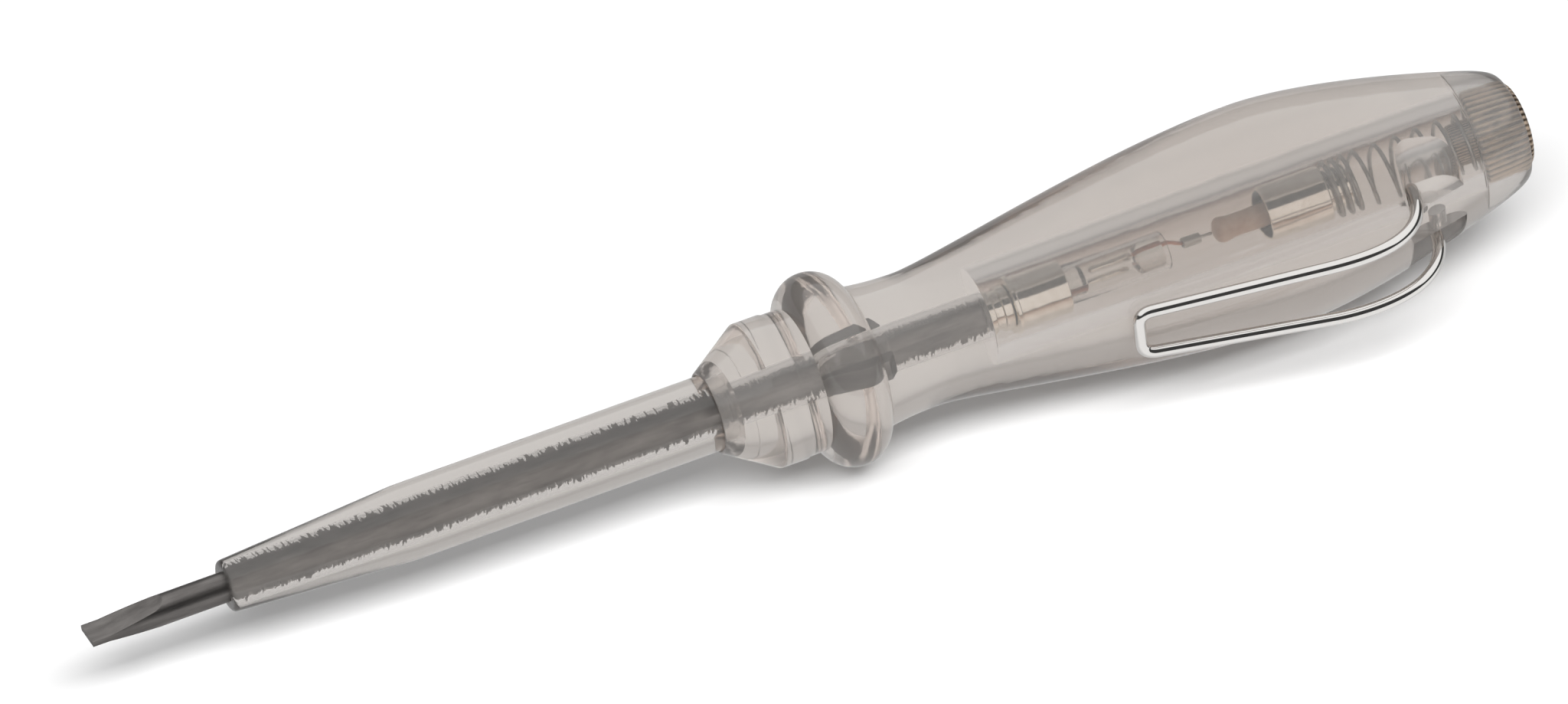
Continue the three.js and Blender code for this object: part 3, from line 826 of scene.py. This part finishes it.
def make_contact_bush(material):
    low, high = span("contact_bush")
    radius = high.z
    third = (high.x - low.x) / 3
    groove = radius - BUSH_GROOVE
    outline = rounded([
        (low.x, 0),
        (low.x, radius),
        (low.x + third, radius),
        (low.x + third, groove),
        (high.x - third, groove),
        (high.x - third, radius),
        (high.x, radius),
        (high.x, 0),
    ], EDGE_ROUND)
    return finish_mesh("bush", turned(outline, SMALL_ROUND), material)


def make_lamp_cap(material):
    start, end = CAP_LOW.x, CAP_HIGH.x
    lip = CAP_HIGH.z
    radius = CUP_RADIUS
    bore = radius - SHEET_WALL
    outline = rounded([
        (start, 0),
        (start, lip),
        (start + CAP_LIP, lip),
        (start + CAP_LIP, radius),
        (end, radius),
        (end, bore),
        (start + SHEET_WALL, bore),
        (start + SHEET_WALL, 0),
    ], EDGE_ROUND)
    return finish_mesh("lamp_socket", turned(outline, SMALL_ROUND), material)


def make_lamp_bulb(material):
    low, high = span("lamp_bulb")
    outer = high.z
    inner = outer - GLASS_WALL
    outline = rounded([
        (low.x, inner), (low.x, outer), (high.x, outer), (high.x, inner), (low.x, inner), (low.x, outer),
    ], GLASS_EDGE_ROUND)
    return finish_mesh("glass_tube", turned(outline[1:-1], SMALL_ROUND, closed=True), material)


def make_bead(name, node, material):
    low, high = span(node)
    radius = high.z
    outline = rounded([(low.x, 0), (low.x, radius), (high.x, radius), (high.x, 0)], BEAD_ROUND, steps=8)
    return finish_mesh(name, turned(outline, SMALL_ROUND), material)


def make_rod(name, node, material, dome=0.6):
    """A straight wire or rod that fills a node's box."""
    low, high = span(node)
    middle = (low + high) / 2
    radius = (high.y - low.y) / 2
    path = [(x, middle.y, middle.z) for x in (low.x + dome * radius, middle.x, high.x - dome * radius)]
    return finish_mesh(name, swept(path, radius, dome=dome), material, crease=60)


def make_rear_lead(material):
    """The lamp's rear lead leaves its bead beside the axis and swings onto it."""
    low, high = span("rear_lead")
    radius = (high.y - low.y) / 2
    height = high.z - radius
    bend_start, bend_end = LEAD_BEND_START, LEAD_BEND_END
    third = (bend_end - bend_start) / 3
    path = [(low.x, height), (bend_start, height)]
    path += bezier([
        (bend_start, height), (bend_start + third, height), (bend_end - third, 0), (bend_end, 0),
    ], 16)
    path.append((high.x, 0))
    return finish_mesh("rear_lamp_lead", swept([(x, 0, z) for x, z in path], radius), material, crease=60)


def make_lead_joint(material):
    low, high = span("lead_joint")
    outer = high.z
    inner = outer - FERRULE_WALL
    outline = rounded([
        (low.x, inner), (low.x, outer), (high.x, outer), (high.x, inner), (low.x, inner), (low.x, outer),
    ], FERRULE_EDGE_ROUND)
    return finish_mesh("crimp", turned(outline[1:-1], 32, closed=True), material)


def make_resistor(material):
    low, high = span("resistor_body")
    radius = high.z
    waist = radius - RESISTOR_DIP
    swell = RESISTOR_SWELL
    start, end = low.x, high.x
    outline = [(start, 0)]
    outline += bezier([(start, 0), (start, radius), (start + swell / 2, radius)], 10)
    outline += bezier([
        (start + swell / 2, radius), (start + 0.8 * swell, radius), (start + swell, waist),
        (start + 1.4 * swell, waist),
    ], 10)
    outline += bezier([
        (end - 1.4 * swell, waist), (end - swell, waist), (end - 0.8 * swell, radius),
        (end - swell / 2, radius),
    ], 10)
    outline += bezier([(end - swell / 2, radius), (end, radius), (end, 0)], 10)
    return finish_mesh("resistor", turned(outline, SMALL_ROUND), material, crease=60)


def make_contact_cup(material, inside):
    start, end = CUP_LOW.x, CUP_LOW.x + CUP_LENGTH
    bore = CUP_RADIUS - SHEET_WALL
    floor = end - SHEET_WALL
    outline = rounded([
        (floor, 0),
        (floor, bore),
        (start, bore),
        (start, CUP_RADIUS),
        (end, CUP_RADIUS),
        (end, SPIGOT_RADIUS),
        (CUP_HIGH.x, SPIGOT_RADIUS),
        (CUP_HIGH.x, 0),
    ], CUP_EDGE_ROUND)
    piece = finish_mesh("resistor_cup", turned(outline, SMALL_ROUND), material)
    # The cup's inside gets a dark finish that paints the shade in its hollow.
    piece.data.materials.append(inside)
    for face in piece.data.polygons:
        centre = face.center / MM
        if centre.x <= floor + 0.01 and math.hypot(centre.y, centre.z) < bore + 0.05:
            face.material_index = 1
    return piece


def spring_path():
    """Wound close over the cup's spigot, open in the middle and close again at the plug."""
    low, high = span("contact_spring")
    start = low.x + SPRING_WIRE
    end = high.x - SPRING_WIRE
    open_pitch = (end - start - (CLOSE_TURNS + END_TURNS) * CLOSE_PITCH) / OPEN_TURNS
    turns = CLOSE_TURNS + OPEN_TURNS + END_TURNS
    steps = 40
    path = []
    for i in range(turns * steps + 1):
        turn = i / steps
        close = min(turn, CLOSE_TURNS) + max(turn - CLOSE_TURNS - OPEN_TURNS, 0)
        opened = min(max(turn - CLOSE_TURNS, 0), OPEN_TURNS)
        angle = TURN * turn
        path.append((
            start + close * CLOSE_PITCH + opened * open_pitch,
            SPRING_RADIUS * math.cos(angle),
            SPRING_RADIUS * math.sin(angle),
        ))
    return path


def make_spring(material):
    return finish_mesh("coil_spring", swept(spring_path(), SPRING_WIRE, sides=12), material, crease=60)


# End plug

def knurl(place_x, radius, angle):
    """Cuts the teeth of the knurl, which fade into the chamfers at both ends."""
    if radius < PLUG_RADIUS - KNURL_DEPTH:
        return radius
    tooth = abs(2 * ((angle / TURN * KNURL_TEETH) % 1.0) - 1)
    return min(radius, PLUG_RADIUS - KNURL_DEPTH * (1 - tooth) ** 0.8)


def make_end_plug(material):
    edge = PLUG_RADIUS - PLUG_CHAMFER
    outline = rounded([
        (PLUG_LOW.x, 0),
        (PLUG_LOW.x, SPIGOT_RADIUS),
        (PLUG_START, SPIGOT_RADIUS),
        (PLUG_START, edge),
        (PLUG_START + PLUG_CHAMFER, PLUG_RADIUS),
        (PLUG_END - PLUG_CHAMFER, PLUG_RADIUS),
        (PLUG_END, edge),
        (PLUG_END, 0),
    ], EDGE_ROUND)
    mesh_data = turned(outline, KNURL_TEETH * 8, shape=knurl)
    return finish_mesh("knurled_plug", mesh_data, material, crease=50)


# Pocket clip

def clip_side(side):
    """One side of the clip from the inner end of its pin to its front corner."""
    pin_x = CLIP_PIVOT_X - side * CLIP_PIVOT_OFFSET / 2
    foot = Vector((pin_x, CLIP_PIVOT_Y, side * CLIP_LEG_Z))
    inward = Vector((0, 0, -side))
    outward = Vector((-math.sin(CLIP_LEAN), -math.cos(CLIP_LEAN), 0))
    bar_x = CLIP_PIVOT_X - CLIP_LENGTH
    bar_y = -handle_radius(bar_x) - CLIP_REST - CLIP_WIRE
    arm_y = -handle_radius(CLIP_PIVOT_X - CLIP_BEND_LENGTH) - CLIP_RISE
    arm = Vector((pin_x - CLIP_BEND_LENGTH, arm_y, side * CLIP_REAR_Z))
    corner = Vector((bar_x, bar_y, side * CLIP_FRONT_Z))
    along = (arm - corner).normalized()
    pin_end = Vector((pin_x, CLIP_PIVOT_Y, side * (WEB_HALF - CLIP_PIN_LENGTH)))
    elbow = foot + inward * CLIP_ELBOW
    leg = foot + outward * CLIP_ELBOW
    corner_start = corner + along * CLIP_CORNER
    corner_end = corner + inward * CLIP_CORNER
    path = [tuple(pin_end)]
    path += bezier([pin_end, elbow], 4)
    path += bezier([elbow, foot, leg], 12)
    path += bezier([leg, foot + outward * CLIP_LEG_RUN, arm + along * CLIP_BEND_RUN, arm], 60)
    path += bezier([arm, corner_start], 20)
    path += bezier([corner_start, corner, corner_end], 16)
    return path


def make_clip(material):
    path = clip_side(1) + clip_side(-1)[::-1]
    return finish_mesh("wire_clip", swept(path, CLIP_WIRE * CLIP_WIRE_SHARE, sides=28), material, crease=60)


# Studio

FLOOR_RISE = 0.02877
CAMERA_AZIMUTH = -19.41
CAMERA_ELEVATION = 38.853
CAMERA_ROLL = 7.241
CAMERA_LENS = 700.0
CAMERA_SENSOR = 36.0
PIXELS_PER_MM = 14.666
PHOTO_SIZE = (2048, 919)
MIDDLE_PIXEL = (1053.5, 493.7)
TOOL_MIDDLE = Vector((70, 0, 0))


def camera_axes():
    """The camera's right, up and back directions."""
    azimuth = math.radians(CAMERA_AZIMUTH)
    elevation = math.radians(CAMERA_ELEVATION)
    back = Vector((
        math.sin(azimuth) * math.cos(elevation),
        -math.cos(azimuth) * math.cos(elevation),
        math.sin(elevation),
    ))
    level = Vector((math.cos(azimuth), math.sin(azimuth), 0))
    turn = Matrix.Rotation(math.radians(-CAMERA_ROLL), 3, back)
    right = turn @ level
    return right, back.cross(right), back


def make_camera():
    right, up, back = camera_axes()
    aside = (MIDDLE_PIXEL[0] - PHOTO_SIZE[0] / 2) / PIXELS_PER_MM
    below = (MIDDLE_PIXEL[1] - PHOTO_SIZE[1] / 2) / PIXELS_PER_MM
    target = TOOL_MIDDLE - right * aside + up * below
    distance = PHOTO_SIZE[0] / PIXELS_PER_MM * CAMERA_LENS / CAMERA_SENSOR
    data = bpy.data.cameras.new("camera")
    data.lens = CAMERA_LENS
    data.sensor_width = CAMERA_SENSOR
    data.clip_start = 0.01
    data.clip_end = 50
    camera = bpy.data.objects.new("camera", data)
    bpy.context.scene.collection.objects.link(camera)
    rotation = Matrix((right, up, back)).transposed().to_4x4()
    camera.matrix_world = Matrix.Translation((target + back * distance) * MM) @ rotation
    bpy.context.scene.camera = camera


FLOOR_COLOUR = 0.78
FLOOR_GLOW = 0.09
# Painted floor shade as metal and plastic see it, from the front of the tool to far behind it.
OPEN_FLOOR = 0.95
SHADED_FLOOR = 0.62
FAR_FLOOR = 0.4
FLOOR_HALF = 1500
FAR_FLOOR_PLACE = 40
FAR_FLOOR_BLEND = 28
OPEN_FLOOR_PLACE = -14
OPEN_FLOOR_BLEND = 5


def rising(tree, value, middle, width):
    """Zero below a middle value and one above it, with a soft step."""
    node = tree.nodes.new("ShaderNodeMapRange")
    node.interpolation_type = "SMOOTHSTEP"
    node.inputs["From Min"].default_value = middle - width
    node.inputs["From Max"].default_value = middle + width
    tree.links.new(value, node.inputs["Value"])
    return node.outputs["Result"]


def mixed(tree, factor, low, high):
    """A value that goes from low to high with the factor; either may be a number or a socket."""
    node = tree.nodes.new("ShaderNodeMix")
    tree.links.new(factor, node.inputs["Factor"])
    for socket, value in ((node.inputs["A"], low), (node.inputs["B"], high)):
        if isinstance(value, float):
            socket.default_value = value
        else:
            tree.links.new(value, socket)
    return node.outputs["Result"]


def across(tree, output):
    """The parts along X, Y and Z of a texture coordinate."""
    coordinates = tree.nodes.new("ShaderNodeTexCoord")
    parts = tree.nodes.new("ShaderNodeSeparateXYZ")
    tree.links.new(coordinates.outputs[output], parts.inputs[0])
    return parts.outputs


def floor_material():
    """White paper that keeps the tool's shadow.

    Metal and plastic show it with painted shade, greyer under and behind the tool.
    """
    material = bpy.data.materials.new("studio_floor")
    material.use_nodes = True
    tree = material.node_tree
    paper = tree.nodes["Principled BSDF"]
    paper.inputs["Base Color"].default_value = (FLOOR_COLOUR, FLOOR_COLOUR, FLOOR_COLOUR, 1)
    paper.inputs["Roughness"].default_value = 1.0
    paper.inputs["Specular IOR Level"].default_value = 0.0
    paper.inputs["Emission Color"].default_value = (1, 1, 1, 1)
    path = tree.nodes.new("ShaderNodeLightPath")
    glow = mixed(tree, path.outputs["Is Camera Ray"], 0.0, FLOOR_GLOW)
    tree.links.new(glow, paper.inputs["Emission Strength"])
    # Painted shade for metal and plastic: the glow is set by place, dimmer under and behind the tool than in
    # front.
    painted_floor_shade = tree.nodes.new("ShaderNodeEmission")
    depth = across(tree, "Object")["Y"]
    far = rising(tree, depth, FAR_FLOOR_PLACE * MM, FAR_FLOOR_BLEND * MM)
    shade = mixed(tree, far, SHADED_FLOOR, FAR_FLOOR)
    under = rising(tree, depth, OPEN_FLOOR_PLACE * MM, OPEN_FLOOR_BLEND * MM)
    shade = mixed(tree, under, OPEN_FLOOR, shade)
    tree.links.new(shade, painted_floor_shade.inputs["Strength"])
    seen = tree.nodes.new("ShaderNodeMath")
    seen.operation = "MAXIMUM"
    tree.links.new(path.outputs["Is Transmission Ray"], seen.inputs[0])
    tree.links.new(path.outputs["Is Glossy Ray"], seen.inputs[1])
    mix = tree.nodes.new("ShaderNodeMixShader")
    tree.links.new(seen.outputs[0], mix.inputs[0])
    tree.links.new(paper.outputs[0], mix.inputs[1])
    tree.links.new(painted_floor_shade.outputs[0], mix.inputs[2])
    tree.links.new(mix.outputs[0], tree.nodes["Material Output"].inputs["Surface"])
    return material


def make_floor():
    """A white floor that touches the belly and the flange of the lying tool."""
    half = FLOOR_HALF
    mesh_data = bmesh.new()
    corners = []
    for x, y in ((-half, -half), (half, -half), (half, half), (-half, half)):
        height = -BELLY_RADIUS + (BELLY_MIDDLE - x) * FLOOR_RISE
        corners.append(mesh_data.verts.new((x, y, height)))
    mesh_data.faces.new(corners)
    floor = finish_mesh("studio_floor", mesh_data, floor_material())


WORLD_LIGHT = 0.35
WORLD_DARK = 0.05
DARK_FRONT = -0.5
DARK_HORIZON = 0.42
BACK_START = -0.25
FRONT_THROUGH_PLASTIC = 1.0
BACK_THROUGH_PLASTIC = 0.45
HIGH_THROUGH_PLASTIC = 0.22
DARK_FRONT_BLEND = 0.05
DARK_HORIZON_BLEND = 0.04
BACK_BLEND = 0.2
HIGH_START = 0.55
HIGH_BLEND = 0.15
LIGHT_DIRECTION = (0.0, -0.56, 1.0)
LIGHT_DISTANCE = 1000
LIGHT_LENGTH = 1500
LIGHT_WIDTH = 500
LIGHT_POWER = 15.8


def make_world():
    """White for the camera; metal shows a dark room in front, and plastic a dim one above and behind."""
    world = bpy.data.worlds.new("studio")
    world.use_nodes = True
    tree = world.node_tree
    path = tree.nodes.new("ShaderNodeLightPath")
    direction = across(tree, "Generated")
    behind = rising(tree, direction["Y"], DARK_FRONT, DARK_FRONT_BLEND)
    above = rising(tree, direction["Z"], DARK_HORIZON, DARK_HORIZON_BLEND)
    room = mixed(tree, above, WORLD_DARK, mixed(tree, behind, WORLD_DARK, 1.0))
    back = rising(tree, direction["Y"], BACK_START, BACK_BLEND)
    high = rising(tree, direction["Z"], HIGH_START, HIGH_BLEND)
    dim = mixed(tree, high, BACK_THROUGH_PLASTIC, HIGH_THROUGH_PLASTIC)
    through = mixed(tree, back, FRONT_THROUGH_PLASTIC, dim)
    strength = mixed(tree, path.outputs["Is Glossy Ray"], WORLD_LIGHT, room)
    strength = mixed(tree, path.outputs["Is Transmission Ray"], strength, through)
    strength = mixed(tree, path.outputs["Is Camera Ray"], strength, 1.0)
    background = tree.nodes["Background"]
    background.inputs["Color"].default_value = (1, 1, 1, 1)
    tree.links.new(strength, background.inputs["Strength"])
    bpy.context.scene.world = world


def make_light(name, direction, distance, length, width, power):
    """A soft box along the tool that faces its middle."""
    data = bpy.data.lights.new(name, "AREA")
    data.shape = "RECTANGLE"
    data.size = length * MM
    data.size_y = width * MM
    data.energy = power
    light = bpy.data.objects.new(name, data)
    bpy.context.scene.collection.objects.link(light)
    light.visible_glossy = False
    light.visible_transmission = False
    back = Vector(direction).normalized()
    light.location = (TOOL_MIDDLE + back * distance) * MM
    along = Vector((1, 0, 0))
    along = (along - back * along.dot(back)).normalized()
    light.matrix_world = (
        Matrix.Translation(light.location) @ Matrix((along, back.cross(along), back)).transposed().to_4x4()
    )


def make_studio():
    make_camera()
    make_floor()
    make_world()
    make_light("top_box", LIGHT_DIRECTION, LIGHT_DISTANCE, LIGHT_LENGTH, LIGHT_WIDTH, LIGHT_POWER)
    bpy.context.scene.view_settings.view_transform = "Standard"


# The whole tool

def make_tool():
    plastic = clear_plastic("handle_plastic", PLASTIC_CLARITY, HANDLE_DULLNESS)
    sleeve_plastic = clear_plastic("sleeve_plastic", SLEEVE_CLARITY, SLEEVE_DULLNESS)
    frosted = bore_plastic()
    steel = blade_steel()
    nickel = nickel_plate()
    glass = lamp_glass()
    copper = copper_clad_wire()
    tin = tinned_wire()
    spring = spring_steel()
    place(make_blade(steel), "tool", "blade_steel", "blade")
    place(make_sleeve(sleeve_plastic), "tool", "clear_plastic", "blade_sleeve")
    place(make_handle(plastic, frosted, pocket_plastic()), "tool", "clear_plastic", "handle")
    place(make_contact_bush(nickel), "tool", "nickel_plate", "contact_bush")
    place(make_lamp_cap(nickel), "tool", "nickel_plate", "lamp_cap")
    place(make_lamp_bulb(glass), "tool", "lamp_glass", "lamp_bulb")
    for end in ("front", "rear"):
        bead = make_bead(f"{end}_bead", f"lamp_{end}_bead", glass)
        place(bead, "tool", "lamp_glass", f"lamp_{end}_bead")
        rod = make_rod(f"{end}_lamp_electrode", f"{end}_electrode", nickel)
        place(rod, "tool", "nickel_plate", f"{end}_electrode")
        lead = make_rod(f"{end}_resistor_lead", f"resistor_{end}_lead", tin)
        place(lead, "tool", "tinned_wire", f"resistor_{end}_lead")
    place(make_rod("front_lamp_lead", "front_lead", copper), "tool", "copper_clad_wire", "front_lead")
    place(make_rear_lead(copper), "tool", "copper_clad_wire", "rear_lead")
    place(make_lead_joint(tin), "tool", "tinned_wire", "lead_joint")
    place(make_resistor(brown_lacquer()), "tool", "brown_lacquer", "resistor_body")
    place(make_contact_cup(nickel, cup_inside_painted_shade()), "tool", "nickel_plate", "contact_cup")
    place(make_spring(spring), "tool", "spring_steel", "contact_spring")
    place(make_end_plug(knurled_brass()), "tool", "knurled_brass", "end_plug")
    place(make_clip(clip_chrome()), "clip", "clip_chrome", "pocket_clip")


make_tool()
make_studio()
